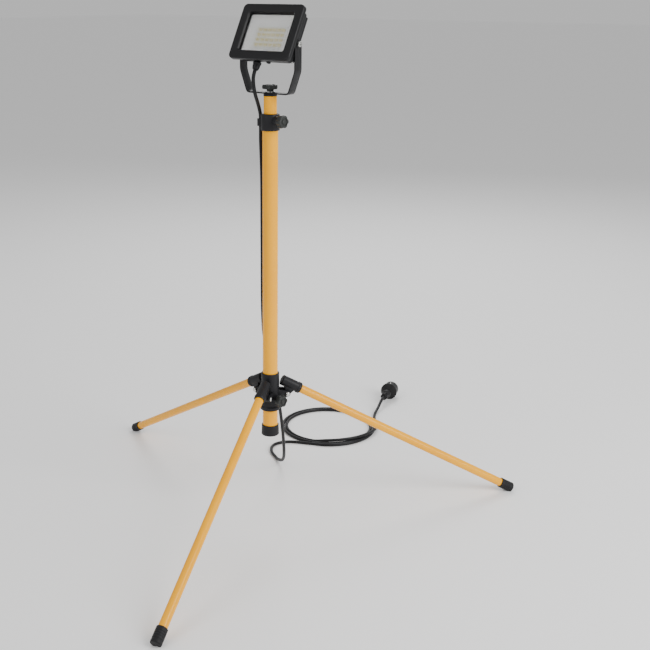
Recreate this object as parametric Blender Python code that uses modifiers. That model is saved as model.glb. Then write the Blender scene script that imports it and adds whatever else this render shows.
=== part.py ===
"""Portable LED work light on a telescopic tripod, with its mains cord.

Metres, +Z up, floor at z = 0. The lamp face looks towards -Y, the bracket arms stand along X.
Everything is laid out around the mast axis; the root empty then centres the footprint.
"""
import bpy
import bmesh
import math
import numpy as np
from mathutils import Matrix, Vector

# ---------------------------------------------------------------- driving dimensions
MM = 0.001
GAP = 0.3 * MM                 # clearance left between neighbouring solids
SEG = 32                       # steps round a large turned piece
SEG_SMALL = 16

OUTER_R = 15.0 * MM            # outer mast tube
OUTER_WALL = 1.2 * MM
OUTER_Z = (168.5 * MM, 791.5 * MM)
INNER_R = 12.5 * MM            # inner mast tube
INNER_WALL = 1.0 * MM
INNER_Z = (290.0 * MM, 842.5 * MM)

CAP_H = 164.0                  # underside of the end cap, millimetres
COLLAR_R = 18.0 * MM
COLLAR_H = 778.0               # underside of the mast collar, millimetres
MAST_KNOB_Z = 797.0 * MM
MAST_KNOB_AZ = 348.0
CORD_GUIDE_AZ = 180.0
CORD_GUIDE_R = 23.0 * MM

HUB_R = 18.0 * MM
HUB_H = 218.5                  # underside of the hub, millimetres
HUB_KNOB_Z = 244.0 * MM
HUB_KNOB_AZ = 347.0

LEG_AZ = {"right": 47.0, "left": 167.0, "front": 287.0}
LEG_APEX_Z = 291.0 * MM        # where a leg axis would meet the mast axis
LEG_SLOPE = math.radians(28.8)
LEG_PIVOT = (33.0 * MM, 251.5 * MM)   # radius, height
LEG_R = 8.5 * MM
LEG_WALL = 1.0 * MM
LEG_S = (33.0 * MM, 582.0 * MM)       # along the leg axis from the apex
SOCKET_R = 10.5 * MM
SOCKET_S = (26.8 * MM, 69.0 * MM)
FOOT_R = 10.5 * MM
FOOT_S = (563.0 * MM, 592.6 * MM)
EAR_T = (8.3 * MM, 12.3 * MM)         # clevis ear, inner and outer face
BOLT_R = 2.5 * MM

PIVOT_Z = 940.0 * MM           # lamp tilt axis
LAMP_TILT = -28.0
ARM_X = 64.0 * MM
STRIP = 2.5 * MM
STRIP_HALF = 10.0 * MM
PLATE_Z = 848.1 * MM
FACE_C = 13.0 * MM             # face centre above the tilt axis
BEZEL = (141.0 * MM, 111.0 * MM)
WINDOW = (103.0 * MM, 75.0 * MM)
BODY = (122.0 * MM, 101.0 * MM)

CORD_R = 3.5 * MM
COIL_C = (-0.149, 0.417)        # coil centre from the mast axis
COIL_R = 0.102
PLUG_DIR = 105.0               # heading of the pins, degrees
PLUG_END = (-0.118, 0.622)     # strain relief end of the plug, from the mast axis

COL = {
    "yellow_paint": ((0.87, 0.42, 0.012), 0.0, 0.32),
    "charcoal_plastic": ((0.030, 0.030, 0.032), 0.0, 0.55),
    "knob_plastic": ((0.060, 0.062, 0.060), 0.0, 0.50),
    "lamp_paint": ((0.034, 0.034, 0.035), 0.1, 0.45),
    "bright_steel": ((0.62, 0.62, 0.60), 1.0, 0.28),
    "bracket_steel": ((0.040, 0.040, 0.042), 0.2, 0.42),
    "clear_glass": ((0.90, 0.93, 0.92), 0.0, 0.05),
    "white_reflector": ((0.82, 0.82, 0.80), 0.0, 0.40),
    "led_phosphor": ((0.70, 0.68, 0.50), 0.0, 0.45),
    "black_rubber": ((0.018, 0.018, 0.019), 0.0, 0.70),
    "foot_rubber": ((0.022, 0.022, 0.023), 0.0, 0.75),
}

# ---------------------------------------------------------------- scene set-up
for old in list(bpy.data.objects):
    bpy.data.objects.remove(old, do_unlink=True)
PARTS = bpy.data.collections.new("work_light")
CUTTERS = bpy.data.collections.new("cutters")
bpy.context.scene.collection.children.link(PARTS)
bpy.context.scene.collection.children.link(CUTTERS)
MATS = {}
for label, (rgb, metallic, rough) in COL.items():
    mat = bpy.data.materials.new(label)
    mat.use_nodes = True
    shader = mat.node_tree.nodes["Principled BSDF"]
    shader.inputs["Base Color"].default_value = (*rgb, 1.0)
    shader.inputs["Metallic"].default_value = metallic
    shader.inputs["Roughness"].default_value = rough
    mat.diffuse_color = (*rgb, 1.0)
    MATS[label] = mat
CORDS = []


# ---------------------------------------------------------------- helpers
def empty(name, loc, parent=None, rot=(0.0, 0.0, 0.0)):
    """Add an empty that carries one moving piece."""
    node = bpy.data.objects.new(name, None)
    node.empty_display_size = 0.02
    PARTS.objects.link(node)
    node.parent = parent
    node.location = loc
    node.rotation_euler = rot
    return node


def add(name, mesh, parent, slot, matrix=None):
    """Link a mesh as a named part with its own material."""
    if slot is None:
        obj = bpy.data.objects.new(name, mesh)
        CUTTERS.objects.link(obj)
        obj.hide_render = True
        obj.display_type = "WIRE"
    else:
        mesh.materials.append(MATS[slot])
        obj = bpy.data.objects.new(name, mesh)
        PARTS.objects.link(obj)
    obj.parent = parent
    if matrix is not None:
        obj.matrix_local = matrix
    return obj


def finish_mesh(name, bm):
    """Turn a bmesh into a mesh with outward faces."""
    bmesh.ops.recalc_face_normals(bm, faces=bm.faces)
    mesh = bpy.data.meshes.new(name)
    bm.to_mesh(mesh)
    bm.free()
    return mesh


def soften(obj, angle=35.0):
    """Smooth shading with sharp edges kept."""
    mesh = obj.data
    mesh.polygons.foreach_set("use_smooth", [True] * len(mesh.polygons))
    mesh.set_sharp_from_angle(angle=math.radians(angle))


def bake(obj):
    """Replace an object's modifiers by their result, rounded off and softly shaded."""
    graph = bpy.context.evaluated_depsgraph_get()
    mesh = bpy.data.meshes.new_from_object(obj.evaluated_get(graph), depsgraph=graph)
    obj.modifiers.clear()
    bm = bmesh.new()
    bm.from_mesh(mesh)
    bmesh.ops.remove_doubles(bm, verts=bm.verts, dist=0.000002)
    bmesh.ops.recalc_face_normals(bm, faces=bm.faces)
    bm.to_mesh(mesh)
    bm.free()
    obj.data = mesh
    soften(obj)


def turned(name, profile, parent, slot, matrix=None, steps=SEG):
    """Revolve a closed (radius, height) outline in millimetres about local Z."""
    pts = [(r * MM, h * MM) for r, h in profile]
    on_axis = [abs(r) < 1e-9 for r, _ in pts]
    mesh = bpy.data.meshes.new(name)
    verts = [(r, 0.0, h) for r, h in pts]
    count = len(verts)
    edges = [(i, (i + 1) % count) for i in range(count)]
    edges = [e for e in edges if not (on_axis[e[0]] and on_axis[e[1]])]
    mesh.from_pydata(verts, edges, [])
    obj = add(name, mesh, parent, slot, matrix)
    mod = obj.modifiers.new("turn", "SCREW")
    mod.axis = "Z"
    mod.steps = steps
    mod.render_steps = steps
    mod.use_merge_vertices = True
    mod.merge_threshold = 0.00001
    mod.use_smooth_shade = False
    bake(obj)
    return obj


def rounded_rect(width, height, radius, cx=0.0, cz=0.0, per=3):
    """Outline of a rounded rectangle."""
    pts = []
    for k, (sx, sz) in enumerate(((1, 1), (-1, 1), (-1, -1), (1, -1))):
        ox = cx + sx * (width / 2 - radius)
        oz = cz + sz * (height / 2 - radius)
        for i in range(per + 1):
            a = math.pi / 2 * (k + i / per)
            pts.append((ox + radius * math.cos(a), oz + radius * math.sin(a)))
    return pts


def prism(name, outline, lo, hi, parent, slot, matrix=None, top=None):
    """Extrude an (x, z) outline along local Y from lo to hi, optionally tapering to top."""
    bm = bmesh.new()
    a = [bm.verts.new((x, lo, z)) for x, z in outline]
    b = [bm.verts.new((x, hi, z)) for x, z in (top or outline)]
    bm.faces.new(a)
    bm.faces.new(list(reversed(b)))
    count = len(a)
    for i in range(count):
        j = (i + 1) % count
        bm.faces.new((a[i], b[i], b[j], a[j]))
    return add(name, finish_mesh(name, bm), parent, slot, matrix)


def box(name, size, centre, parent, slot, matrix=None, bevel=0.0):
    """Axis-aligned block."""
    bm = bmesh.new()
    bmesh.ops.create_cube(bm, size=1.0)
    bmesh.ops.scale(bm, vec=size, verts=bm.verts)
    bmesh.ops.translate(bm, vec=centre, verts=bm.verts)
    obj = add(name, finish_mesh(name, bm), parent, slot, matrix)
    if bevel > 0.0:
        mod = obj.modifiers.new("edge", "BEVEL")
        mod.width = bevel
        mod.segments = 2
    return obj


def rod(name, radius, lo, hi, parent, slot, matrix=None, steps=SEG_SMALL):
    """Solid cylinder along local Z, millimetres."""
    return turned(name, [(0, hi), (radius, hi), (radius, lo), (0, lo)], parent, slot, matrix, steps)


def boolean(obj, other, op):
    """Add an exact boolean."""
    mod = obj.modifiers.new(op.lower(), "BOOLEAN")
    mod.operation = op
    mod.solver = "EXACT"
    mod.object = other
    return mod


def along(origin, direction, roll=(0.0, 0.0, 1.0)):
    """Matrix whose local Z lies along direction."""
    z = Vector(direction).normalized()
    x = Vector(roll).cross(z)
    if x.length < 1e-6:
        x = Vector((1.0, 0.0, 0.0)).cross(z)
    x.normalize()
    y = z.cross(x)
    rot = Matrix((x, y, z)).transposed().to_4x4()
    return Matrix.Translation(Vector(origin)) @ rot


def radial(az):
    """Unit vector at an azimuth in degrees."""
    a = math.radians(az)
    return Vector((math.cos(a), math.sin(a), 0.0))


def lobed_knob(name, radius, lobes, depth, lo, hi, bore, bore_top, parent, slot, matrix, neck=None):
    """Hand knob: lobed rim, domed face, neck and blind bore, along local Z in millimetres."""
    levels = [(0.86, lo), (0.97, lo + 1.2), (1.0, lo + 2.6), (1.0, hi - 3.0), (0.95, hi - 1.2), (0.82, hi)]
    count = lobes * 6
    bm = bmesh.new()
    rings = []
    for factor, height in levels:
        ring = []
        for i in range(count):
            a = 2 * math.pi * i / count
            r = radius * (factor - depth * (0.5 - 0.5 * math.cos(lobes * a)))
            ring.append(bm.verts.new((r * MM * math.cos(a), r * MM * math.sin(a), height * MM)))
        rings.append(ring)
    bm.faces.new(list(reversed(rings[0])))
    bm.faces.new(rings[-1])
    for low, high in zip(rings, rings[1:]):
        for i in range(count):
            j = (i + 1) % count
            bm.faces.new((low[i], low[j], high[j], high[i]))
    obj = add(name, finish_mesh(name, bm), parent, slot, matrix)
    if neck:
        boolean(obj, turned(name + "_neck", neck, parent, None, matrix), "UNION")
    cutter = rod(name + "_bore", bore, lo - 10.0, bore_top, parent, None, matrix)
    boolean(obj, cutter, "DIFFERENCE")
    return obj


def stud(name, radius, lo, hi, parent, matrix):
    """Plain threaded stud with chamfered ends, millimetres along local Z."""
    c = radius * 0.25
    outline = [(0, hi), (radius - c, hi), (radius, hi - c), (radius, lo + c), (radius - c, lo), (0, lo)]
    return turned(name, outline, parent, "bright_steel", matrix, SEG_SMALL)


def cord(name, points, parent, slot="black_rubber", radius=CORD_R):
    """Round cord through a list of points."""
    curve = bpy.data.curves.new(name, "CURVE")
    curve.dimensions = "3D"
    curve.bevel_depth = radius
    curve.bevel_resolution = 1
    curve.use_fill_caps = True
    spline = curve.splines.new("POLY")
    spline.points.add(len(points) - 1)
    for item, p in zip(spline.points, points):
        item.co = (*p, 1.0)
    curve.materials.append(MATS[slot])
    obj = bpy.data.objects.new(name, curve)
    PARTS.objects.link(obj)
    obj.parent = parent
    CORDS.append(obj)
    return obj


def smooth_path(keys, step=0.006):
    """Centripetal-like spline through key points, evenly resampled."""
    keys = [Vector(k) for k in keys]
    ext = [keys[0] * 2 - keys[1]] + keys + [keys[-1] * 2 - keys[-2]]
    fine = []
    for i in range(1, len(ext) - 2):
        p0, p1, p2, p3 = ext[i - 1:i + 3]
        m1 = (p2 - p0) * 0.5
        m2 = (p3 - p1) * 0.5
        span = (p2 - p1).length
        if (p2 - p0).length > 1e-9:
            m1 = (p2 - p0).normalized() * span
        if (p3 - p1).length > 1e-9:
            m2 = (p3 - p1).normalized() * span
        for k in range(40):
            t = k / 40
            a = 2 * t**3 - 3 * t**2 + 1
            b = t**3 - 2 * t**2 + t
            c = -2 * t**3 + 3 * t**2
            d = t**3 - t**2
            fine.append(p1 * a + m1 * b + p2 * c + m2 * d)
    fine.append(keys[-1])
    arr = np.array([tuple(p) for p in fine])
    length = np.concatenate([[0.0], np.cumsum(np.linalg.norm(np.diff(arr, axis=0), axis=1))])
    count = max(4, int(round(length[-1] / step)) + 1)
    at = np.linspace(0.0, length[-1], count)
    return [tuple(float(np.interp(s, length, arr[:, k])) for k in range(3)) for s in at]


# ---------------------------------------------------------------- bodies (empties on their joint axes)
ROOT = empty("work_light_root", (0, 0, 0))
HUB = empty("hub", (0, 0, 0), ROOT)
OUTER = empty("outer_mast", (0, 0, 0), HUB)
INNER = empty("inner_mast", (0, 0, 0), OUTER)
BRACKET = empty("bracket", (0, 0, PLATE_Z), INNER)
LAMP = empty("lamp", (0, 0, PIVOT_Z - PLATE_Z), BRACKET, (math.radians(LAMP_TILT), 0, 0))
BRACKET_KNOB = empty("bracket_clamp", (0, 0, 0), BRACKET)
HUB_KNOB = empty("hub_clamp", radial(HUB_KNOB_AZ) * 0.03 + Vector((0, 0, HUB_KNOB_Z)), HUB)
MAST_KNOB = empty("mast_clamp", radial(MAST_KNOB_AZ) * 0.03 + Vector((0, 0, MAST_KNOB_Z)), OUTER)

# ---------------------------------------------------------------- hub
hub_outline = [
    (0, HUB_H + 76.5), (17.2, HUB_H + 76.5), (18.0, HUB_H + 75.5), (18.0, HUB_H + 8.5), (20.0, HUB_H + 6.5),
    (20.0, HUB_H + 1.0), (19.0, HUB_H), (0, HUB_H),
]
hub = turned("tripod_hub", hub_outline, HUB, "charcoal_plastic", steps=40)
boss = turned("hub_boss", [(0, 26.6), (7.4, 26.6), (8.4, 25.6), (9.4, 16.4), (0, 16.4)], HUB, None,
              along(Vector((0, 0, HUB_KNOB_Z)), radial(HUB_KNOB_AZ)))
boolean(hub, boss, "UNION")
for label, az in LEG_AZ.items():
    turn = Matrix.Rotation(math.radians(az), 4, "Z")
    for side in (-1, 1):
        mid = side * (EAR_T[0] + EAR_T[1]) / 2
        r0 = 11.0 * MM
        pr, pz = LEG_PIVOT
        arc = [(pr + 6.0 * MM * math.cos(a), pz + 6.0 * MM * math.sin(a))
               for a in np.linspace(-math.pi / 2, math.pi / 2, 7)]
        outline = [(r0, pz - 11.0 * MM)] + arc + [(r0, pz + 9.0 * MM)]
        ear = prism(f"ear_{label}_{side}", outline, mid - 2 * MM, mid + 2 * MM, HUB, None, turn)
        boolean(hub, ear, "UNION")
    hole = rod(f"bolt_hole_{label}", 2.8, -20, 20, HUB, None,
               turn @ along((pr, 0, pz), (0, 1, 0)))
    boolean(hub, hole, "DIFFERENCE")
bore = turned("hub_bore", [
    (0, HUB_H + 78.0), (17.0, HUB_H + 78.0), (15.4, HUB_H + 75.6), (15.4, HUB_H + 0.8), (16.6, HUB_H - 1.6),
    (0, HUB_H - 1.6)], HUB, None, steps=40)
boolean(hub, bore, "DIFFERENCE")
stud_hole = rod("hub_stud_hole", 3.3, 8.0, 30.0, HUB, None,
                along(Vector((0, 0, HUB_KNOB_Z)), radial(HUB_KNOB_AZ)))
boolean(hub, stud_hole, "DIFFERENCE")
bake(hub)

knob_frame = along((0, 0, 0), radial(HUB_KNOB_AZ))
kmat = knob_frame
hub_knob = lobed_knob("hub_knob", 12.8, 6, 0.14, -2.6, 10.4, 3.3, 6.0, HUB_KNOB, "knob_plastic", kmat)
bake(hub_knob)
stud("hub_knob_stud", 3.0, -14.6, 5.6, HUB_KNOB, kmat)

# ---------------------------------------------------------------- legs
for label, az in LEG_AZ.items():
    turn = Matrix.Rotation(math.radians(az), 4, "Z")
    pr, pz = LEG_PIVOT
    leg = empty(f"leg_{label}", (turn @ Vector((pr, 0, pz))), HUB, (0, 0, math.radians(az)))
    axis = Vector((math.cos(LEG_SLOPE), 0, -math.sin(LEG_SLOPE)))
    apex = Vector((0, 0, LEG_APEX_Z)) - Vector((pr, 0, pz))
    on_leg = along(apex, axis, (0, 1, 0))
    s0, s1 = SOCKET_S[0] / MM, SOCKET_S[1] / MM
    socket = turned(f"leg_{label}_socket", [
        (0, s0), (9.5, s0), (10.5, s0 + 1.0), (10.5, s1 - 7.0), (11.2, s1 - 6.2), (11.2, s1 - 0.8),
        (10.6, s1), (8.8, s1), (8.8, s0 + 6.0), (0, s0 + 6.0)], leg, "charcoal_plastic", on_leg)
    n = Vector((math.sin(LEG_SLOPE), 0, math.cos(LEG_SLOPE)))
    arc = [(6.0 * MM * math.cos(a), 6.0 * MM * math.sin(a))
           for a in np.linspace(math.radians(160), math.radians(340), 9)]
    up_a = Vector((11.0 * MM * axis.x, 0, 11.0 * MM * axis.z)) + n * 14.0 * MM
    up_b = Vector((-10.0 * MM * axis.x, 0, -10.0 * MM * axis.z)) + n * 14.0 * MM
    tongue_outline = arc + [(up_a.x, up_a.z), (up_b.x, up_b.z)]
    tongue = prism(f"tongue_{label}", tongue_outline, -8 * MM, 8 * MM, leg, None)
    clear = rod(f"socket_clear_{label}", 8.8, s0 + 6.0, s1 + 5, leg, None, on_leg, SEG)
    hole = rod(f"tongue_hole_{label}", 2.8, -20, 20, leg, None, along((0, 0, 0), (0, 1, 0)))
    boolean(socket, tongue, "UNION")
    boolean(socket, clear, "DIFFERENCE")
    boolean(socket, hole, "DIFFERENCE")
    bake(socket)
    t0, t1 = LEG_S[0] / MM, LEG_S[1] / MM
    tube = turned(f"leg_{label}_tube", [(7.5, t0), (8.5, t0), (8.5, t1), (7.5, t1)], leg,
                  "yellow_paint", on_leg)
    bake(tube)
    f0, f1 = FOOT_S[0] / MM, FOOT_S[1] / MM
    foot = turned(f"leg_{label}_foot", [
        (0, f1), (8.6, f1), (9.9, f1 - 0.6), (10.5, f1 - 2.0), (10.5, f0 + 0.8), (9.7, f0), (8.8, f0),
        (8.8, t1 + 0.4), (0, t1 + 0.4)], leg, "foot_rubber", on_leg)
    floor = box(f"floor_{label}", (0.2, 0.1, 0.02), (0.44, 0, -0.01 - pz), leg, None)
    boolean(foot, floor, "DIFFERENCE")
    bake(foot)
    bolt_at = Matrix.Translation(turn @ Vector((pr, 0, pz))) @ turn @ along((0, 0, 0), (0, 1, 0))
    side = {"right": -1, "left": 1, "front": 1}[label]
    flip = Matrix.Rotation(math.pi, 4, "X") if side < 0 else Matrix.Identity(4)
    bolt = turned(f"leg_{label}_bolt", [
        (0, 15.8), (3.2, 15.8), (4.2, 15.0), (4.5, 14.0), (4.5, 12.6), (2.5, 12.6), (2.5, -17.0),
        (2.1, -17.4), (0, -17.4)], HUB, "bright_steel", bolt_at @ flip, SEG_SMALL)
    bake(bolt)
    nut = turned(f"leg_{label}_nut", [(3.3, -12.6), (4.9, -12.6), (4.9, -16.2), (3.3, -16.2)], HUB,
                 "bright_steel", bolt_at @ flip, 6)
    bake(nut)

# ---------------------------------------------------------------- outer mast
z0, z1 = OUTER_Z[0] / MM, OUTER_Z[1] / MM
outer_tube = turned("outer_tube", [(13.8, z0), (15.0, z0), (15.0, z1), (13.8, z1)], OUTER, "yellow_paint")
bake(outer_tube)
cap = turned("mast_end_cap", [
    (15.3, CAP_H + 21.5), (16.6, CAP_H + 21.5), (17.2, CAP_H + 20.8), (17.6, CAP_H + 4.0), (17.9, CAP_H + 1.2),
    (17.0, CAP_H), (9.0, CAP_H), (9.0, CAP_H + 4.0), (15.3, CAP_H + 4.0)], OUTER, "charcoal_plastic")
bake(cap)
collar = turned("mast_collar", [
    (0, COLLAR_H + 31.5), (16.0, COLLAR_H + 31.5), (17.4, COLLAR_H + 30.4), (18.0, COLLAR_H + 28.8),
    (18.0, COLLAR_H + 0.8), (17.3, COLLAR_H), (0, COLLAR_H)], OUTER,
    "charcoal_plastic", steps=40)
boss = turned("collar_boss", [(0, 26.6), (7.2, 26.6), (8.2, 25.6), (9.2, 16.0), (0, 16.0)], OUTER, None,
              along(Vector((0, 0, MAST_KNOB_Z)), radial(MAST_KNOB_AZ)))
boolean(collar, boss, "UNION")
guide_at = Matrix.Translation(radial(CORD_GUIDE_AZ) * CORD_GUIDE_R) @ Matrix.Rotation(0.1, 4, "Z")
guide = rod("collar_guide", 6.7, COLLAR_H + 7.0, COLLAR_H + 21.0, OUTER, None, guide_at, 20)
boolean(collar, guide, "UNION")
collar_bore = turned("collar_bore", [
    (0, COLLAR_H + 38.0), (12.9, COLLAR_H + 38.0), (12.9, COLLAR_H + 14.0), (15.3, COLLAR_H + 14.0),
    (15.3, COLLAR_H - 7.0), (0, COLLAR_H - 7.0)], OUTER, None, steps=40)
boolean(collar, collar_bore, "DIFFERENCE")
boolean(collar, rod("collar_guide_hole", 4.3, COLLAR_H - 7.0, COLLAR_H + 23.0, OUTER, None, guide_at), "DIFFERENCE")
boolean(collar, rod("collar_stud_hole", 3.3, 8.0, 30.0, OUTER, None,
                    along(Vector((0, 0, MAST_KNOB_Z)), radial(MAST_KNOB_AZ))), "DIFFERENCE")
bake(collar)
kmat = along((0, 0, 0), radial(MAST_KNOB_AZ))
mast_knob = lobed_knob("mast_knob", 12.8, 6, 0.14, -2.6, 10.4, 3.3, 6.0, MAST_KNOB, "knob_plastic", kmat)
bake(mast_knob)
stud("mast_knob_stud", 3.0, -17.1, 5.6, MAST_KNOB, kmat)

# ---------------------------------------------------------------- inner mast
z0, z1 = INNER_Z[0] / MM, INNER_Z[1] / MM
inner_tube = turned("inner_tube", [(11.5, z0), (12.5, z0), (12.5, z1), (11.5, z1)], INNER, "yellow_paint")
bake(inner_tube)
glide = turned("mast_glide", [
    (12.8, z0 + 27.0), (13.45, z0 + 27.0), (13.45, z0 - 3.5), (10.5, z0 - 3.5), (10.5, z0 - 0.4), (12.8, z0 - 0.4)],
    INNER, "charcoal_plastic")
bake(glide)
plug_top = turned("mast_top_plug", [
    (4.4, z1 + 4.0), (12.2, z1 + 4.0), (12.9, z1 + 3.3), (12.9, z1 + 0.4), (11.2, z1 + 0.3), (11.2, z1 - 19.5),
    (10.4, z1 - 21.0), (4.4, z1 - 21.0)], INNER, "charcoal_plastic")
bake(plug_top)

# ---------------------------------------------------------------- bracket
half = [(0.0, 0.0), (43.0, 0.0), (46.5, 0.8), (49.0, 3.2), (50.6, 6.4), (62.0, 37.0), (63.4, 41.5),
        (64.0, 46.5), (64.0, 92.0), (64.0, 95.0), (64.0, 98.0), (64.0, 100.4), (64.0, 101.6), (64.0, 102.0)]
centre = [(-x, z) for x, z in reversed(half)] + half[1:]
bm = bmesh.new()
rows = []
for i, (x, z) in enumerate(centre):
    a = Vector(centre[max(i - 1, 0)])
    b = Vector(centre[min(i + 1, len(centre) - 1)])
    t = (b - a).normalized()
    nrm = Vector((-t.y, t.x))
    over = max(0.0, z - 92.0)
    wide = math.sqrt(max(100.0 - over * over, 0.0)) if over > 0 else 10.0
    wide = max(wide, 1.2)
    row = []
    for sn, sy in ((-1, -1), (1, -1), (1, 1), (-1, 1)):
        q = Vector((x, z)) + nrm * sn * 1.25
        row.append(bm.verts.new((q.x * MM, sy * wide * MM, q.y * MM)))
    rows.append(row)
for a, b in zip(rows, rows[1:]):
    for k in range(4):
        m = (k + 1) % 4
        bm.faces.new((a[k], b[k], b[m], a[m]))
bm.faces.new(rows[0])
bm.faces.new(list(reversed(rows[-1])))
bracket = add("lamp_bracket", finish_mesh("lamp_bracket", bm), BRACKET, "bracket_steel")
boolean(bracket, rod("bracket_hole", 4.4, -10, 10, BRACKET, None), "DIFFERENCE")
boolean(bracket, rod("arm_hole", 3.0, -80, 80, BRACKET, None,
                     along((0, 0, PIVOT_Z - PLATE_Z), (1, 0, 0))), "DIFFERENCE")
bake(bracket)
washer = turned("bracket_washer", [(4.4, 3.0), (9.5, 3.0), (9.5, 1.6), (4.4, 1.6)], BRACKET, "bright_steel")
bake(washer)
wing = lobed_knob("bracket_knob", 15.5, 5, 0.28, 6.9, 15.6, 4.3, 12.4, BRACKET_KNOB, "knob_plastic",
                  Matrix.Identity(4), neck=[(0, 8.6), (7.4, 8.6), (6.4, 3.4), (0, 3.4)])
bake(wing)
stud("bracket_knob_stud", 4.0, -18.0, 12.0, BRACKET_KNOB, Matrix.Identity(4))

# ---------------------------------------------------------------- lamp
fc = FACE_C
body = prism("lamp_housing", rounded_rect(BODY[0], BODY[1], 7 * MM, 0, fc), -12.7 * MM, 12.0 * MM, LAMP,
             "lamp_paint")
cavity = prism("housing_cavity", rounded_rect(112 * MM, 90 * MM, 4 * MM, 0, fc), -14 * MM, -1.0 * MM,
               LAMP, None)
boolean(body, cavity, "DIFFERENCE")
for side in (-1, 1):
    boolean(body, rod(f"side_boss_{side}", 8.6, 56.5, 62.3, LAMP, None, along((0, 0, 0), (side, 0, 0))), "UNION")
    boolean(body, rod(f"side_hole_{side}", 2.8, 57.2, 64.0, LAMP, None, along((0, 0, 0), (side, 0, 0))),
            "DIFFERENCE")
slots = bmesh.new()
for k in range(-5, 6):
    made = bmesh.ops.create_cube(slots, size=1.0)["verts"]
    bmesh.ops.scale(slots, vec=(4.6 * MM, 9.0 * MM, 76.0 * MM), verts=made)
    bmesh.ops.translate(slots, vec=(k * 8.6 * MM, 9.0 * MM, fc), verts=made)
slot_obj = add("fin_slots", finish_mesh("fin_slots", slots), LAMP, None)
boolean(body, slot_obj, "DIFFERENCE")
screw_at = [(sx * 53.5 * MM, fc + sz * 43.5 * MM) for sx in (-1, 1) for sz in (-1, 1)]
for k, (x, z) in enumerate(screw_at):
    boolean(body, rod(f"screw_hole_{k}", 1.9, 6.5, 14.0, LAMP, None, along((x, 0, z), (0, 1, 0))), "DIFFERENCE")
boolean(body, rod("gland_hole", 5.4, -60.0, -30.0, LAMP, None,
                  Matrix.Translation((-18 * MM, 3 * MM, 0))), "DIFFERENCE")
boolean(body, rod("vent_hole", 2.4, -60.0, -33.5, LAMP, None,
                  Matrix.Translation((10 * MM, 0, 0))), "DIFFERENCE")
bake(body)
for k, (x, z) in enumerate(screw_at):
    screw = turned(f"housing_screw_{k + 1}", [
        (0, 14.4), (2.0, 14.4), (3.2, 13.4), (3.2, 12.3), (1.6, 12.3), (1.6, 7.0), (0, 7.0)], LAMP,
        "bright_steel", along((x, 0, z), (0, 1, 0)), 24)
    bake(screw)
bezel = prism("lamp_bezel", rounded_rect(BEZEL[0], BEZEL[1], 9 * MM, 0, fc), -23.0 * MM, -13.0 * MM, LAMP,
              "lamp_paint")
mod = bezel.modifiers.new("edge", "BEVEL")
mod.width = 1.6 * MM
mod.segments = 3
mod.limit_method = "ANGLE"
opening = prism("bezel_opening", rounded_rect(WINDOW[0] + 5 * MM, WINDOW[1] + 5 * MM, 5 * MM, 0, fc), -24 * MM,
                -18 * MM, LAMP, None, top=rounded_rect(WINDOW[0], WINDOW[1], 3 * MM, 0, fc))
boolean(bezel, opening, "DIFFERENCE")
rebate = prism("bezel_rebate", rounded_rect(108 * MM, 80 * MM, 4 * MM, 0, fc), -19.3 * MM, -12 * MM, LAMP, None)
boolean(bezel, rebate, "DIFFERENCE")
bake(bezel)
glass = prism("lamp_glass", rounded_rect(107.4 * MM, 79.4 * MM, 3.7 * MM, 0, fc), -19.0 * MM, -16.0 * MM, LAMP,
              "clear_glass")
bake(glass)
gasket = prism("lamp_gasket", rounded_rect(107.4 * MM, 79.4 * MM, 3.7 * MM, 0, fc), -15.7 * MM, -13.3 * MM,
               LAMP, "black_rubber")
boolean(gasket, prism("gasket_cut", rounded_rect(101 * MM, 73 * MM, 3 * MM, 0, fc), -17 * MM, -12 * MM, LAMP,
                      None), "DIFFERENCE")
bake(gasket)
refl = prism("lamp_reflector", rounded_rect(108 * MM, 80 * MM, 4 * MM, 0, fc), -12.9 * MM, -3.0 * MM, LAMP,
             "white_reflector", top=rounded_rect(92 * MM, 68 * MM, 3 * MM, 0, fc))
funnel = prism("reflector_cut", rounded_rect(106.4 * MM, 78.4 * MM, 4 * MM, 0, fc), -13.5 * MM, -4.4 * MM, LAMP,
               None, top=rounded_rect(88 * MM, 64 * MM, 3 * MM, 0, fc))
boolean(refl, funnel, "DIFFERENCE")
boolean(refl, prism("reflector_hole", rounded_rect(70.6 * MM, 46.6 * MM, 2 * MM, 0, fc - 5 * MM), -6 * MM,
                    -2 * MM, LAMP, None), "DIFFERENCE")
bake(refl)
board = prism("led_board", rounded_rect(70 * MM, 46 * MM, 1.7 * MM, 0, fc - 5 * MM), -5.0 * MM, -3.2 * MM, LAMP,
              "white_reflector")
bake(board)
leds = prism("led_array", rounded_rect(64 * MM, 40 * MM, 1.0 * MM, 0, fc - 5 * MM), -6.8 * MM, -5.3 * MM, LAMP,
             "led_phosphor")
grid = bmesh.new()
for k in range(1, 5):
    made = bmesh.ops.create_cube(grid, size=1.0)["verts"]
    bmesh.ops.scale(grid, vec=(3.2 * MM, 1.0 * MM, 50.0 * MM), verts=made)
    bmesh.ops.translate(grid, vec=((k - 2.5) * 13.0 * MM, -6.9 * MM, fc - 5 * MM), verts=made)
boolean(leds, add("led_grid", finish_mesh("led_grid", grid), LAMP, None), "DIFFERENCE")
rows_cut = bmesh.new()
for k in range(1, 3):
    made = bmesh.ops.create_cube(rows_cut, size=1.0)["verts"]
    bmesh.ops.scale(rows_cut, vec=(80.0 * MM, 1.0 * MM, 3.0 * MM), verts=made)
    bmesh.ops.translate(rows_cut, vec=(0, -6.9 * MM, fc - 5 * MM + (k - 1.5) * 14.0 * MM), verts=made)
boolean(leds, add("led_rows", finish_mesh("led_rows", rows_cut), LAMP, None), "DIFFERENCE")
bake(leds)
gland_at = Matrix.Translation((-18 * MM, 3 * MM, -37.5 * MM))
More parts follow.
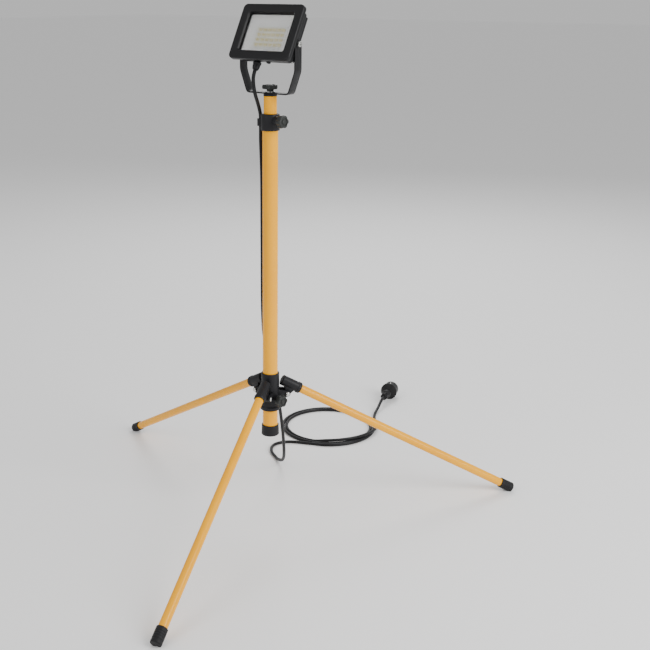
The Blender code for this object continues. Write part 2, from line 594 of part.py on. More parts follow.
gland = turned("cable_gland", [
    (4.0, 5.0), (5.1, 5.0), (5.1, -0.3), (7.6, -0.3), (8.0, -1.0), (8.0, -4.5), (7.2, -5.2), (7.2, -9.0),
    (6.6, -13.0), (5.6, -15.6), (4.0, -15.6)], LAMP, "charcoal_plastic", gland_at, SEG_SMALL)
bake(gland)
vent = turned("vent_plug", [(0, 3.5), (2.1, 3.5), (2.1, -0.3), (4.2, -0.3), (4.2, -2.2), (3.4, -3.0), (0, -3.0)],
              LAMP, "charcoal_plastic", Matrix.Translation((10 * MM, 0, -37.5 * MM)), SEG_SMALL)
bake(vent)
for side, label in ((-1, "left"), (1, "right")):
    at = along((0, 0, 0), (side, 0, 0))
    pivot = turned(f"pivot_screw_{label}", [
        (0, 70.2), (3.4, 70.2), (5.0, 69.2), (5.4, 67.6), (5.4, 67.0), (2.5, 67.0), (2.5, 57.6), (0, 57.6)],
        LAMP, "bright_steel", at, SEG_SMALL)
    bake(pivot)
    ring = turned(f"pivot_washer_{label}", [(2.8, 66.6), (8.2, 66.6), (8.2, 65.6), (2.8, 65.6)], LAMP,
                  "black_rubber", at, SEG_SMALL)
    bake(ring)

# ---------------------------------------------------------------- cords and plug
tilt = Matrix.Translation((0, 0, PIVOT_Z)) @ Matrix.Rotation(math.radians(LAMP_TILT), 4, "X")
exit_a = tilt @ Vector((-18 * MM, 3 * MM, -52.3 * MM))
exit_b = tilt @ Vector((-18 * MM, 3 * MM, -60.0 * MM))
guide_c = radial(CORD_GUIDE_AZ) * CORD_GUIDE_R
lead = smooth_path([
    exit_a, exit_b, (-19 * MM, -18.5 * MM, 0.8710), (-19 * MM, -18.5 * MM, 0.8500), (-20 * MM, -16.0 * MM, 0.8270),
    (-22.4 * MM, -4.0 * MM, 0.8100), (guide_c.x, 0.0, 0.7980), (guide_c.x, 0.0, 0.7830)], 0.009)
cord("cord_lamp_lead", lead, INNER)

coil = Vector((COIL_C[0], COIL_C[1], 0))


def coil_point(angle, radius, height):
    """Point on the coil, angle in degrees about its centre."""
    a = math.radians(angle)
    return (coil.x + radius * math.cos(a), coil.y + radius * math.sin(a), height)


run = smooth_path([
    (guide_c.x, 0.0, 0.7825), (guide_c.x, 0.0, 0.756), (-20.5 * MM, 0.0, 0.690),
    (-20.0 * MM, 0.0, 0.540), (-20.5 * MM, 2 * MM, 0.415), (-23 * MM, 12 * MM, 0.355),
    (-24 * MM, 34 * MM, 0.305), (-31 * MM, 60 * MM, 0.240), (-45 * MM, 96 * MM, 0.150),
    (-67 * MM, 134 * MM, 0.066), (-96 * MM, 168 * MM, 0.020), (-131 * MM, 192 * MM, 0.0040),
    (-165 * MM, 216 * MM, 0.0040), (-182 * MM, 248 * MM, 0.0040), (-168 * MM, 280 * MM, 0.0040),
    coil_point(285.0, COIL_R + 0.0165, 0.0040)], 0.014)
cord("cord_run", run, HUB)
coil_ring = turned("cord_coil", [
    ((COIL_R / MM) + 11.0 * math.cos(a), 7.6 + 7.4 * math.sin(a)) for a in np.linspace(
        math.pi / 2, -3 * math.pi / 2, 12, endpoint=False)], HUB, "black_rubber",
    Matrix.Translation(coil), 40)
bake(coil_ring)
CORDS.append(coil_ring)

heading = radial(PLUG_DIR)
plug_c = Vector((PLUG_END[0], PLUG_END[1], 0.0))
tail_start = coil_point(50.0, COIL_R + 0.0165, 0.0040)
back = plug_c - heading * 0.012 + Vector((0, 0, 0.0205))
tail = smooth_path([
    tail_start, coil_point(66.0, COIL_R + 0.036, 0.0040), plug_c - heading * 0.080 + Vector((0.006, 0.0, 0.0040)),
    plug_c - heading * 0.045 + Vector((0, 0, 0.0100)), back, plug_c + heading * 0.004 + Vector((0, 0, 0.0213))],
    0.010)
cord("cord_tail", tail, HUB)
plug_at = along(plug_c + Vector((0, 0, 0.0213)), heading)
plug = turned("plug_body", [
    (0, 71.0), (17.0, 71.0), (18.5, 69.5), (18.5, 51.0), (21.0, 49.5), (21.0, 43.5), (18.5, 42.0),
    (8.2, 38.0), (7.7, 35.5), (8.6, 31.5), (10.8, 28.0), (10.8, 19.5), (8.6, 17.0), (8.3, 1.5), (7.2, 0.0),
    (3.9, 0.0), (3.9, 6.0), (0, 6.0)], HUB, "black_rubber", plug_at)
for side in (-1, 1):
    groove = box(f"plug_groove_{side}", (9 * MM, 5 * MM, 22 * MM), (0, side * 18.6 * MM, 61.8 * MM), HUB, None,
                 plug_at)
    boolean(plug, groove, "DIFFERENCE")
    pin_at = plug_at @ Matrix.Translation((side * 9.5 * MM, 0, 0))
    boolean(plug, rod(f"pin_hole_{side}", 2.7, 66.0, 73.0, HUB, None, pin_at, 24), "DIFFERENCE")
bake(plug)
for side, label in ((-1, "a"), (1, "b")):
    pin_at = plug_at @ Matrix.Translation((side * 9.5 * MM, 0, 0))
    pin = turned(f"plug_pin_{label}", [
        (0, 90.0), (1.2, 90.0), (2.4, 88.4), (2.4, 66.3), (0, 66.3)], HUB, "bright_steel", pin_at, 24)
    bake(pin)
    contact = box(f"earth_contact_{label}", (4 * MM, 0.8 * MM, 17 * MM), (0, side * 16.9 * MM, 60.8 * MM), HUB,
                  "bright_steel", plug_at)
    bake(contact)

# ---------------------------------------------------------------- centre the footprint on the root
for obj in PARTS.objects:
    if obj.type == "MESH" and obj.modifiers:
        bake(obj)
bpy.context.view_layer.update()
lo = Vector((1e9, 1e9, 1e9))
hi = Vector((-1e9, -1e9, -1e9))
for obj in PARTS.objects:
    if obj.type == "MESH" and obj not in CORDS and not obj.name.startswith(("plug_", "earth_")):
        for v in obj.data.vertices:
            w = obj.matrix_world @ v.co
            lo = Vector(map(min, lo, w))
            hi = Vector(map(max, hi, w))
ROOT.location = (-(lo.x + hi.x) / 2, -(lo.y + hi.y) / 2, 0.0)
bpy.context.view_layer.update()
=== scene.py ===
"""Looks of the tripod work light: camera, cords, finished surfaces and studio.

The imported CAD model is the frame. Sizes are in metres, in the row frame, floor at z = 0.
"""
import bpy
import bmesh
import math
from mathutils import Matrix, Vector


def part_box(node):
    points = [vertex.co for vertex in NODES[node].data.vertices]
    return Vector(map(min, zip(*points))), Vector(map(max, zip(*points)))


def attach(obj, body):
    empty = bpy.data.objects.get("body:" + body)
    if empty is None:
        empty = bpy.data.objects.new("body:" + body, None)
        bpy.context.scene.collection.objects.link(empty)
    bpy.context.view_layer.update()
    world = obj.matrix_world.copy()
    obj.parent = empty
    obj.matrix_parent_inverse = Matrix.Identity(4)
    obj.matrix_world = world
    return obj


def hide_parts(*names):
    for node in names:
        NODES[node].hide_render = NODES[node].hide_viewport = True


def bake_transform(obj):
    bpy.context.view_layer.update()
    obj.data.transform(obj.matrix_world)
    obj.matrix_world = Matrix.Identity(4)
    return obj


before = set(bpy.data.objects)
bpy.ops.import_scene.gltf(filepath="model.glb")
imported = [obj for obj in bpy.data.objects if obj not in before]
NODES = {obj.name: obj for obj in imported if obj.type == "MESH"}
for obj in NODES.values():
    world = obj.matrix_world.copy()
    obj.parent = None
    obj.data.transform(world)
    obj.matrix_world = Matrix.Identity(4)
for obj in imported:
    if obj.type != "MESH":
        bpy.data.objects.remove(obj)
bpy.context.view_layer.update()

MM = 0.001


def mid(node):
    """Centre of a CAD node's box."""
    lo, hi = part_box(node)
    return (lo + hi) / 2


MAST = Vector((mid("outer_tube").x, mid("outer_tube").y, 0.0))
PIVOT = Vector((mid("lamp_bracket").x, MAST.y, 0.940))
LAMP_TILT = math.radians(-28.0)
LAMP = Matrix.Translation(PIVOT) @ Matrix.Rotation(LAMP_TILT, 4, "X")
FACE_C = 0.013                 # face centre above the tilt axis, in the lamp's own frame
CORD_D = 0.007
KNOB_AZ = {"hub_knob": 347.0, "mast_knob": 348.0}
KNOB_H = {"hub_knob": 0.244, "mast_knob": 0.797}
LEGS = {"right": 47.0, "left": 167.0, "front": 287.0}
LEG_APEX_Z = 0.291
LEG_SLOPE = math.radians(28.8)


# ---------------------------------------------------------------- camera
CAMERA_AZ = math.radians(38.0)
CAMERA_D = 2.032
CAMERA_H = 1.039
CAMERA_PITCH = math.radians(13.65)
cam_data = bpy.data.cameras.new("camera")
cam_data.lens = 59.76
cam_data.sensor_width = 36.0
cam_data.shift_x = 0.0842
cam_data.shift_y = -0.1154
camera = bpy.data.objects.new("camera", cam_data)
bpy.context.scene.collection.objects.link(camera)
camera.location = MAST + Vector((math.sin(CAMERA_AZ) * CAMERA_D, -math.cos(CAMERA_AZ) * CAMERA_D, CAMERA_H))
camera.rotation_euler = (math.pi / 2 - CAMERA_PITCH, 0.0, CAMERA_AZ)
bpy.context.scene.camera = camera


# ---------------------------------------------------------------- node materials
class Surface:
    """Small helper that wires one procedural material."""

    def __init__(self, name, color, rough, metallic=0.0, **sockets):
        self.mat = bpy.data.materials.new(name)
        self.mat.use_nodes = True
        self.tree = self.mat.node_tree
        self.shader = self.tree.nodes["Principled BSDF"]
        self.coords = self.tree.nodes.new("ShaderNodeTexCoord")
        self.shader.inputs["Metallic"].default_value = metallic
        for label, value in sockets.items():
            self.shader.inputs[label.replace("_", " ")].default_value = value
        self.shader.inputs["Base Color"].default_value = (*color, 1.0)
        self.shader.inputs["Roughness"].default_value = rough
        self.height = None

    def node(self, kind, **settings):
        item = self.tree.nodes.new(kind)
        for key, value in settings.items():
            setattr(item, key, value)
        return item

    def link(self, out, into):
        self.tree.links.new(out, into)

    def noise(self, scale, detail=3.0, roughness=0.5, stretch=(1.0, 1.0, 1.0)):
        """Object-space noise, stretched along an axis if wanted."""
        mapping = self.node("ShaderNodeMapping")
        mapping.inputs["Scale"].default_value = stretch
        self.link(self.coords.outputs["Object"], mapping.inputs["Vector"])
        tex = self.node("ShaderNodeTexNoise")
        tex.inputs["Scale"].default_value = scale
        tex.inputs["Detail"].default_value = detail
        tex.inputs["Roughness"].default_value = roughness
        self.link(mapping.outputs["Vector"], tex.inputs["Vector"])
        return tex.outputs["Fac"]

    def ramp(self, source, stops):
        """Colour ramp over a factor."""
        ramp = self.node("ShaderNodeValToRGB")
        elements = ramp.color_ramp.elements
        while len(elements) < len(stops):
            elements.new(0.5)
        for element, (at, shade) in zip(elements, stops):
            element.position = at
            element.color = (*shade, 1.0) if len(shade) == 3 else shade
        self.link(source, ramp.inputs["Fac"])
        return ramp.outputs["Color"]

    def spread(self, source, low, high):
        """Map a 0..1 factor to a range."""
        item = self.node("ShaderNodeMapRange")
        item.inputs["From Min"].default_value = 0.3
        item.inputs["From Max"].default_value = 0.7
        item.inputs["To Min"].default_value = low
        item.inputs["To Max"].default_value = high
        self.link(source, item.inputs["Value"])
        return item.outputs["Result"]

    def mix(self, factor, a, b):
        """Mix two colours, either of which may be a socket."""
        item = self.node("ShaderNodeMix", data_type="RGBA")
        if hasattr(factor, "links"):
            self.link(factor, item.inputs["Factor"])
        else:
            item.inputs["Factor"].default_value = factor
        for value, socket in ((a, item.inputs["A"]), (b, item.inputs["B"])):
            for candidate in item.inputs:
                if candidate.name == socket.name and candidate.type == "RGBA":
                    socket = candidate
            if hasattr(value, "links"):
                self.link(value, socket)
            else:
                socket.default_value = (*value, 1.0)
        for out in item.outputs:
            if out.type == "RGBA":
                return out
        return item.outputs[0]

    def edges(self, radius=0.0006):
        """Factor that is 1 on worn convex edges."""
        bevel = self.node("ShaderNodeBevel", samples=4)
        bevel.inputs["Radius"].default_value = radius
        geo = self.node("ShaderNodeNewGeometry")
        dot = self.node("ShaderNodeVectorMath", operation="DOT_PRODUCT")
        self.link(bevel.outputs["Normal"], dot.inputs[0])
        self.link(geo.outputs["Normal"], dot.inputs[1])
        item = self.node("ShaderNodeMapRange")
        item.inputs["From Min"].default_value = 0.995
        item.inputs["From Max"].default_value = 0.93
        self.link(dot.outputs["Value"], item.inputs["Value"])
        return item.outputs["Result"]

    def bump(self, source, strength, distance):
        item = self.node("ShaderNodeBump")
        item.inputs["Strength"].default_value = strength
        item.inputs["Distance"].default_value = distance
        self.link(source, item.inputs["Height"])
        if self.height is not None:
            self.link(self.height, item.inputs["Normal"])
        self.height = item.outputs["Normal"]
        self.link(self.height, self.shader.inputs["Normal"])

    def base(self, socket):
        self.link(socket, self.shader.inputs["Base Color"])

    def roughness(self, socket):
        self.link(socket, self.shader.inputs["Roughness"])


def times(color, factor):
    """Scale a colour."""
    return tuple(min(1.0, c * factor) for c in color)


def powder_coat(name, color, rough, peel=900.0, strength=0.10, coat=0.0, edge=None, wear=0.35):
    """Powder-coated metal: orange peel, slow tone drift, fine dust and rubbed edges."""
    s = Surface(name, color, rough, Specular_IOR_Level=0.22, Coat_Weight=coat, Coat_Roughness=0.12)
    drift = s.noise(9.0, 4.0, 0.6)
    tone = s.ramp(drift, [(0.30, times(color, 0.93)), (0.70, times(color, 1.05))])
    dust = s.spread(s.noise(60.0, 6.0, 0.7), 0.0, 0.05)
    tone = s.mix(dust, tone, tuple(0.85 * c + 0.015 for c in color))
    if edge:
        mask = s.node("ShaderNodeMath", operation="MULTIPLY")
        s.link(s.edges(), mask.inputs[0])
        s.link(s.spread(s.noise(260.0, 4.0, 0.7), 0.0, wear), mask.inputs[1])
        tone = s.mix(mask.outputs["Value"], tone, edge)
    s.base(tone)
    s.roughness(s.spread(s.noise(34.0, 5.0, 0.6), rough - 0.05, rough + 0.09))
    s.bump(s.noise(peel, 2.0, 0.5), strength, 0.0002)
    return s.mat


def moulded(name, color, rough, grain=2600.0, strength=0.22, edge=1.9):
    """Moulded plastic: fine erosion grain, faint flow tone, paler rubbed edges."""
    s = Surface(name, color, rough, Specular_IOR_Level=0.25)
    tone = s.ramp(s.noise(14.0, 4.0, 0.6), [(0.3, times(color, 0.88)), (0.7, times(color, 1.14))])
    mask = s.node("ShaderNodeMath", operation="MULTIPLY")
    s.link(s.edges(0.0005), mask.inputs[0])
    mask.inputs[1].default_value = 0.55
    tone = s.mix(mask.outputs["Value"], tone, times(color, edge))
    s.base(tone)
    s.roughness(s.spread(s.noise(90.0, 4.0, 0.6), rough - 0.06, rough + 0.08))
    s.bump(s.noise(grain, 2.0, 0.6), strength, 0.00012)
    return s.mat


def plated(name, color, rough, stretch=(1.0, 1.0, 1.0)):
    """Zinc or nickel plate: fine machining lines and slight tarnish."""
    s = Surface(name, color, rough, metallic=1.0, Anisotropic=0.3)
    stain = s.ramp(s.noise(120.0, 5.0, 0.65), [(0.35, times(color, 0.78)), (0.62, color)])
    s.base(stain)
    s.roughness(s.spread(s.noise(300.0, 4.0, 0.6, stretch), rough - 0.06, rough + 0.10))
    s.bump(s.noise(1500.0, 2.0, 0.5, stretch), 0.12, 0.0001)
    return s.mat


def rubber(name, color, rough, scale=3200.0):
    """Matt rubber sheath with a slight bloom."""
    s = Surface(name, color, rough, Sheen_Weight=0.04, Sheen_Roughness=0.5, Specular_IOR_Level=0.22)
    tone = s.ramp(s.noise(24.0, 5.0, 0.65), [(0.32, times(color, 0.85)), (0.72, times(color, 1.35))])
    s.base(tone)
    s.roughness(s.spread(s.noise(70.0, 4.0, 0.6), rough - 0.08, rough + 0.08))
    s.bump(s.noise(scale, 2.0, 0.6), 0.22, 0.00012)
    return s.mat


YELLOW = powder_coat("yellow_coat", (1.0, 0.430, 0.0), 0.22, peel=700.0, strength=0.07, coat=0.12,
                     edge=(1.0, 0.46, 0.02), wear=0.3)
CHARCOAL = moulded("charcoal_moulding", (0.011, 0.011, 0.013), 0.46)
KNOB = moulded("knob_moulding", (0.026, 0.028, 0.027), 0.44, grain=1800.0, strength=0.28)
LAMP_COAT = powder_coat("lamp_coat", (0.010, 0.010, 0.011), 0.38, peel=1500.0, strength=0.22,
                        edge=(0.05, 0.05, 0.052), wear=0.5)
BRACKET_COAT = powder_coat("bracket_coat", (0.010, 0.010, 0.011), 0.38, peel=1300.0, strength=0.16,
                           edge=(0.07, 0.07, 0.07), wear=0.5)
STEEL = plated("plated_steel", (0.66, 0.66, 0.64), 0.24)
NICKEL = plated("nickel_contact", (0.74, 0.72, 0.68), 0.20, (1.0, 1.0, 0.1))
SHEATH = rubber("cord_sheath", (0.008, 0.008, 0.009), 0.46)
GASKET = rubber("gasket_rubber", (0.010, 0.010, 0.011), 0.66)
FOOT = rubber("foot_rubber_finish", (0.010, 0.010, 0.011), 0.58, 2200.0)
PLUG_RUBBER = rubber("plug_rubber", (0.010, 0.010, 0.011), 0.44, 2400.0)


def reflector_finish():
    """White-coated tray: eggshell gloss with faint unevenness."""
    s = Surface("reflector_white", (0.84, 0.84, 0.83), 0.30)
    s.base(s.ramp(s.noise(22.0, 3.0, 0.5), [(0.3, (0.80, 0.80, 0.785)), (0.7, (0.87, 0.87, 0.865))]))
    s.roughness(s.spread(s.noise(80.0, 3.0, 0.5), 0.24, 0.38))
    s.bump(s.noise(400.0, 2.0, 0.5), 0.05, 0.0002)
    return s.mat


def board_finish():
    """White solder mask with a faint weave under it."""
    s = Surface("board_white", (0.74, 0.75, 0.73), 0.36)
    s.base(s.ramp(s.noise(700.0, 2.0, 0.5), [(0.35, (0.70, 0.71, 0.69)), (0.65, (0.78, 0.79, 0.77))]))
    s.bump(s.noise(1800.0, 1.0, 0.5), 0.06, 0.0001)
    return s.mat


def phosphor_finish():
    """Silicone over yellow phosphor, unlit."""
    s = Surface("phosphor", (0.72, 0.62, 0.26), 0.28, Coat_Weight=0.5, Coat_Roughness=0.10,
                Subsurface_Weight=0.1, Subsurface_Radius=(0.002, 0.0015, 0.0006))
    s.base(s.ramp(s.noise(900.0, 2.0, 0.5), [(0.3, (0.66, 0.55, 0.20)), (0.7, (0.79, 0.70, 0.33))]))
    return s.mat


def glass_finish():
    """Thin clear pane that lets the tray show through, with faint dust."""
    s = Surface("clear_pane", (0.97, 0.99, 0.98), 0.03, IOR=1.45, Transmission_Weight=1.0, Alpha=0.22)
    s.roughness(s.spread(s.noise(40.0, 5.0, 0.6), 0.02, 0.06))
    return s.mat


REFLECTOR = reflector_finish()
BOARD = board_finish()
PHOSPHOR = phosphor_finish()
GLASS = glass_finish()


# ---------------------------------------------------------------- mesh helpers
def link(name, mesh, mat, matrix=None):
    """Link a mesh as a piece."""
    mesh.materials.append(mat)
    obj = bpy.data.objects.new(name, mesh)
    bpy.context.scene.collection.objects.link(obj)
    if matrix is not None:
        mesh.transform(matrix)
    return obj


def shade(obj, angle=32.0):
    """Smooth shading that keeps hard edges."""
    mesh = obj.data
    mesh.polygons.foreach_set("use_smooth", [True] * len(mesh.polygons))
    mesh.set_sharp_from_angle(angle=math.radians(angle))
    return obj


def close(name, bm, mat, matrix=None, angle=32.0):
    """Finish a bmesh as a shaded piece."""
    bmesh.ops.remove_doubles(bm, verts=bm.verts, dist=1e-7)
    bmesh.ops.recalc_face_normals(bm, faces=bm.faces)
    mesh = bpy.data.meshes.new(name)
    bm.to_mesh(mesh)
    bm.free()
    return shade(link(name, mesh, mat, matrix), angle)


def bevel(obj, width, segments=3, angle=30.0):
    """Small rounded edges."""
    mod = obj.modifiers.new("edge", "BEVEL")
    mod.width = width
    mod.segments = segments
    mod.limit_method = "ANGLE"
    mod.angle_limit = math.radians(angle)
    mod.harden_normals = True
    return obj


def piece(obj, body, slot, *nodes):
    """Ride a piece on its body in place of CAD nodes."""
    if nodes:
        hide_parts(*nodes)
    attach(obj, body)
    return obj


def along(origin, direction, roll=(0.0, 0.0, 1.0)):
    """Matrix whose local Z lies along direction."""
    z = Vector(direction).normalized()
    x = Vector(roll).cross(z)
    if x.length < 1e-6:
        x = Vector((1.0, 0.0, 0.0)).cross(z)
    x.normalize()
    y = z.cross(x)
    return Matrix.Translation(Vector(origin)) @ Matrix((x, y, z)).transposed().to_4x4()


def radial(az):
    """Unit vector at an azimuth in degrees."""
    a = math.radians(az)
    return Vector((math.cos(a), math.sin(a), 0.0))


def hoop(bm, count, r, h, scale=None):
    """Ring of vertices at a radius and height in millimetres; scale(angle) may vary the radius."""
    if r < 1e-6:
        return [bm.verts.new((0.0, 0.0, h * MM))] * count
    ring = []
    for i in range(count):
        a = 2 * math.pi * i / count
        rr = r * (scale(a) if scale else 1.0)
        ring.append(bm.verts.new((rr * MM * math.cos(a), rr * MM * math.sin(a), h * MM)))
    return ring


def skin(bm, rings, closed=False):
    """Faces between neighbouring rings, narrowing to triangles where a ring is one point."""
    count = len(rings[0])
    for low, high in zip(rings, rings[1:] + ([rings[0]] if closed else [])):
        for i in range(count):
            j = (i + 1) % count
            corners = []
            for v in (low[i], low[j], high[j], high[i]):
                if v not in corners:
                    corners.append(v)
            if len(corners) > 2:
                bm.faces.new(corners)


def lathe(name, profile, mat, matrix=None, steps=96, closed=True, wobble=None):
    """Turn an outline of (radius, height) in millimetres about local Z."""
    bm = bmesh.new()
    rings = [hoop(bm, steps, r, h, (lambda a, h=h: wobble(a, h)) if wobble else None) for r, h in profile]
    skin(bm, rings, closed)
    return close(name, bm, mat, matrix)


def arc(cx, cy, r, start, stop, count=5):
    """Points of an arc in a turned outline."""
    out = []
    for i in range(count + 1):
        a = math.radians(start + (stop - start) * i / count)
        out.append((cx + r * math.cos(a), cy + r * math.sin(a)))
    return out


def rounded(width, height, radius, cz=0.0, per=8, cx=0.0):
    """Outline of a rounded rectangle, in metres."""
    pts = []
    for k, (sx, sz) in enumerate(((1, 1), (-1, 1), (-1, -1), (1, -1))):
        ox = cx + sx * (width / 2 - radius)
        oz = cz + sz * (height / 2 - radius)
        for i in range(per + 1):
            a = math.pi / 2 * (k + i / per)
            pts.append((ox + radius * math.cos(a), oz + radius * math.sin(a)))
    return pts


def loft(name, loops, mat, matrix=None, ring=False, angle=32.0):
    """Skin equal-length outlines given as (outline, y); a ring joins up, other lofts are capped."""
    bm = bmesh.new()
    rows = [[bm.verts.new((x, y, z)) for x, z in outline] for outline, y in loops]
    skin(bm, rows, ring)
    if not ring:
        bm.faces.new(list(reversed(rows[0])))
        bm.faces.new(rows[-1])
    return close(name, bm, mat, matrix, angle)


def smooth_path(keys, step=0.004):
    """Spline through key points, evenly resampled."""
    keys = [Vector(k) for k in keys]
    ext = [keys[0] * 2 - keys[1]] + keys + [keys[-1] * 2 - keys[-2]]
    fine = []
    for i in range(1, len(ext) - 2):
        p0, p1, p2, p3 = ext[i - 1:i + 3]
        span = (p2 - p1).length
        m1 = (p2 - p0).normalized() * span
        m2 = (p3 - p1).normalized() * span
        for k in range(24):
            t = k / 24
            fine.append(p1 * (2 * t**3 - 3 * t**2 + 1) + m1 * (t**3 - 2 * t**2 + t)
                        + p2 * (3 * t**2 - 2 * t**3) + m2 * (t**3 - t**2))
    fine.append(keys[-1])
    run = [0.0]
    for a, b in zip(fine, fine[1:]):
        run.append(run[-1] + (b - a).length)
    count = max(6, int(round(run[-1] / step)) + 1)
    out = []
    k = 0
    for i in range(count):
        at = run[-1] * i / (count - 1)
        while k < len(run) - 2 and run[k + 1] < at:
            k += 1
        f = (at - run[k]) / max(run[k + 1] - run[k], 1e-12)
        out.append(fine[k].lerp(fine[k + 1], min(max(f, 0.0), 1.0)))
    return out


def tube(name, points, radius, mat, sides=20):
    """Round tube along points, with closed ends."""
    bm = bmesh.new()
    up = Vector((0.3, 0.2, 1.0))
    rings = []
    for i, p in enumerate(points):
        t = (points[min(i + 1, len(points) - 1)] - points[max(i - 1, 0)]).normalized()
        up = (up - t * up.dot(t)).normalized()
        side = t.cross(up)
        ring = []
        for k in range(sides):
            a = 2 * math.pi * k / sides
            ring.append(bm.verts.new(p + (up * math.cos(a) + side * math.sin(a)) * radius))
        rings.append(ring)
    skin(bm, rings)
    bm.faces.new(list(reversed(rings[0])))
    bm.faces.new(rings[-1])
    return close(name, bm, mat, angle=60.0)


# ---------------------------------------------------------------- cords
GUIDE = radial(180.0) * 0.023
EXIT_A = LAMP @ Vector((-0.018, 0.003, -0.0523))
EXIT_B = LAMP @ Vector((-0.018, 0.003, -0.0600))


def at_mast(x, y, z):
    """A point given from the mast axis, in millimetres across and metres up."""
    return MAST + Vector((x * MM, y * MM, z))


lead = smooth_path([
    EXIT_A, EXIT_B, at_mast(-18.6, -27.6, 0.8730), at_mast(-19.2, -22.6, 0.8500),
    at_mast(-20.9, -11.0, 0.8280),
    at_mast(-22.4, -2.8, 0.8110), at_mast(GUIDE.x / MM, 0.0, 0.7980), at_mast(GUIDE.x / MM, 0.0, 0.7825),
    at_mast(GUIDE.x / MM, 0.0, 0.7560)], 0.002)
LEAD_CUTS = (0.8500, 0.8060)
cuts = [0] + [next(i for i, p in enumerate(lead) if p.z < z) for z in LEAD_CUTS] + [len(lead) - 1]
lead_parts = [lead[a:b + 1] for a, b in zip(cuts, cuts[1:])]
for points, (label, upper, lower), start in zip(
        lead_parts,
        (("lead_lamp", "lamp", "bracket"), ("lead_bracket", "bracket", "inner_mast"),
         ("lead_mast", "inner_mast", "outer_mast")),
        (EXIT_A, None, None)):
    body = tube("cord_" + label, points, CORD_D / 2, SHEATH)
    if label == "lead_lamp":
        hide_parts("cord_lamp_lead")
    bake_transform(body)

COIL_C = MAST + Vector((-0.149, 0.417, 0.0))
REST_Z = CORD_D / 2 + 0.0001


def coil_point(angle, radius, height):
    """Point on the coil, angle in degrees about its centre."""
    a = math.radians(angle)
    return COIL_C + Vector((radius * math.cos(a), radius * math.sin(a), height))


run_keys = [
    lead[-1], at_mast(-21.6, 0.0, 0.722), at_mast(-20.5, 0.0, 0.690),
    at_mast(-20.0, 0.0, 0.540), at_mast(-20.5, 2.0, 0.415), at_mast(-23, 12, 0.355),
    at_mast(-24, 34, 0.305), at_mast(-31, 60, 0.240), at_mast(-45, 96, 0.150),
    at_mast(-67, 134, 0.066), at_mast(-96, 168, 0.020), at_mast(-131, 192, REST_Z),
    at_mast(-165, 216, REST_Z), at_mast(-182, 248, REST_Z), at_mast(-168, 280, REST_Z),
]
ENTRY_ANGLE = 285.0
FLAT_TURNS, CROSSING_TURNS = 2.0, 0.36       # the crossing climbs over the flat turns and out
TURNS = 2.36
STEPS_PER_TURN = 20
COIL_R, COIL_STEP = 0.1150, 0.0086           # radius at the entry, and how far each turn lies inside the last
CROSSING_R, CROSSING_OUT, CROSSING_LIFT = 0.0978, 0.0235, 0.0078
COIL_WAVER = 0.0006
coil_keys = []
for i in range(int(TURNS * STEPS_PER_TURN) + 1):
    turn = i / STEPS_PER_TURN
    r = COIL_R - COIL_STEP * turn
    rise = 0.0
    if turn > FLAT_TURNS:
        over = (turn - FLAT_TURNS) / CROSSING_TURNS
        r = CROSSING_R + CROSSING_OUT * over * over * (3 - 2 * over)
        rise = CROSSING_LIFT * math.sin(math.pi * min(1.0, over * 1.02)) ** 0.7
    r += COIL_WAVER * math.sin(2 * math.pi * turn + 0.8)
    coil_keys.append(coil_point(ENTRY_ANGLE + 360.0 * turn, r, REST_Z + rise))

PLUG_HEADING = radial(105.0)
PLUG_AXIS_Z = 0.0213
plug_c = MAST + Vector((-0.118, 0.622, 0.0))
tail_keys = [
    plug_c - PLUG_HEADING * 0.080 + Vector((0.003, -0.002, REST_Z)),
    plug_c - PLUG_HEADING * 0.045 + Vector((0.0, 0.0, 0.0100)),
    plug_c - PLUG_HEADING * 0.012 + Vector((0.0, 0.0, 0.0205)),
    plug_c + PLUG_HEADING * 0.004 + Vector((0.0, 0.0, PLUG_AXIS_Z)),
]
main_path = smooth_path(run_keys + coil_keys + tail_keys, 0.004)
main_path = [Vector((p.x, p.y, max(p.z, REST_Z))) for p in main_path]
main_cord = tube("cord_main", main_path, CORD_D / 2, SHEATH)
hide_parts("cord_run", "cord_coil", "cord_tail")


# ---------------------------------------------------------------- plug
PLUG = along(plug_c + Vector((0.0, 0.0, PLUG_AXIS_Z)), PLUG_HEADING)
PLUG_FACE = 71.0


def plug_shape(a, h):
    """Two flats on the sides of the plug's body."""
    if 51.0 < h < 70.6:
        flat = max(0.0, abs(math.sin(a)) - 0.955) * 2.0
        return 1.0 - flat
    return 1.0


relief = []
for k in range(6):
    top = 17.0 - k * 2.75
    relief += [(8.35, top), (8.35, top - 1.5), (6.6, top - 1.75), (6.6, top - 2.5)]
plug_outline = (
    [(0, PLUG_FACE), (16.2, PLUG_FACE)] + arc(17.0, 69.5, 1.5, 90, 0)
    + [(18.5, 66.0), (18.5, 53.0), (18.7, 51.6)]
    + arc(20.0, 48.8, 1.0, 80, 0, 4) + arc(20.0, 44.4, 1.0, 0, -80, 4)
    + [(18.4, 42.6), (15.0, 40.6), (10.0, 38.8), (8.2, 37.6), (7.7, 35.5), (8.2, 32.5)]
    + [(9.5, 29.8), (10.6, 27.4), (10.85, 24.0), (10.6, 20.6), (9.4, 18.4)]
    + relief + [(6.2, 0.3), (5.6, 0.0), (3.7, 0.0), (3.7, 6.0), (0, 6.0)])
plug = lathe("plug_shell", plug_outline, PLUG_RUBBER, PLUG, 96, closed=False, wobble=plug_shape)
piece(plug, "hub", "black_rubber", "plug_body")
